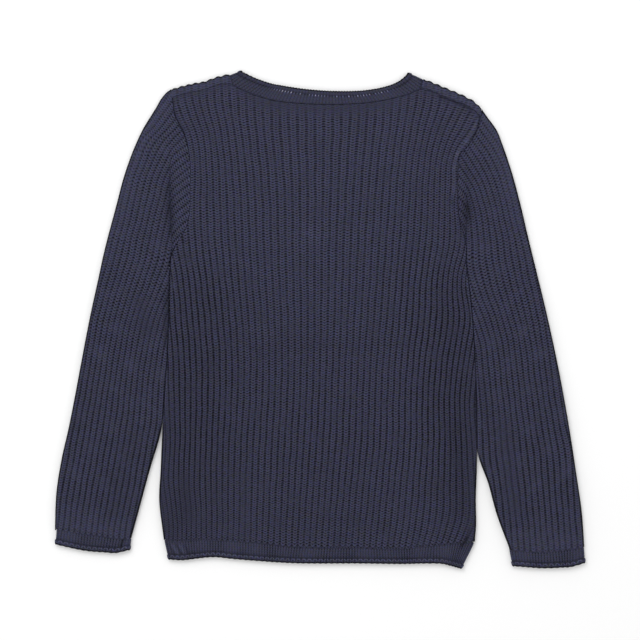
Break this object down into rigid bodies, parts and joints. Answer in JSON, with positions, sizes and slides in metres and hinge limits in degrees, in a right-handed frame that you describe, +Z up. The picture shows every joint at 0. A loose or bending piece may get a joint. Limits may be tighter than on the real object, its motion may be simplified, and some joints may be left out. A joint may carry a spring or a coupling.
{
  "type": "rib knit sweater",
  "caption": "Child's long-sleeved crew-neck pullover in thick navy rib knit, laid flat back upwards, with turned shoulders and fine rib bands that roll at their edges.",
  "frame": {"origin": "on the surface that the sweater lies on, under the middle of its overall box", "axes": "+X across the sweater towards the sleeve on the right as seen from above, +Y from hem to neck, +Z up, out of the shown back"},
  "size_m": [0.5318, 0.4988, 0.0069],
  "materials": {
    "body_rib": "matt thick rib knit, navy",
    "band_rib": "matt fine rib knit, navy",
    "neck_rib": "matt fine rib knit, navy, a shade lighter"
  },
  "bodies": {
    "root": {"back_panel": "body_rib", "front_panel": "body_rib", "sleeve_left": "body_rib", "sleeve_right": "body_rib", "neckband": "neck_rib", "hem": "band_rib", "cuff_left": "band_rib", "cuff_right": "band_rib"}
  },
  "joints": []
}
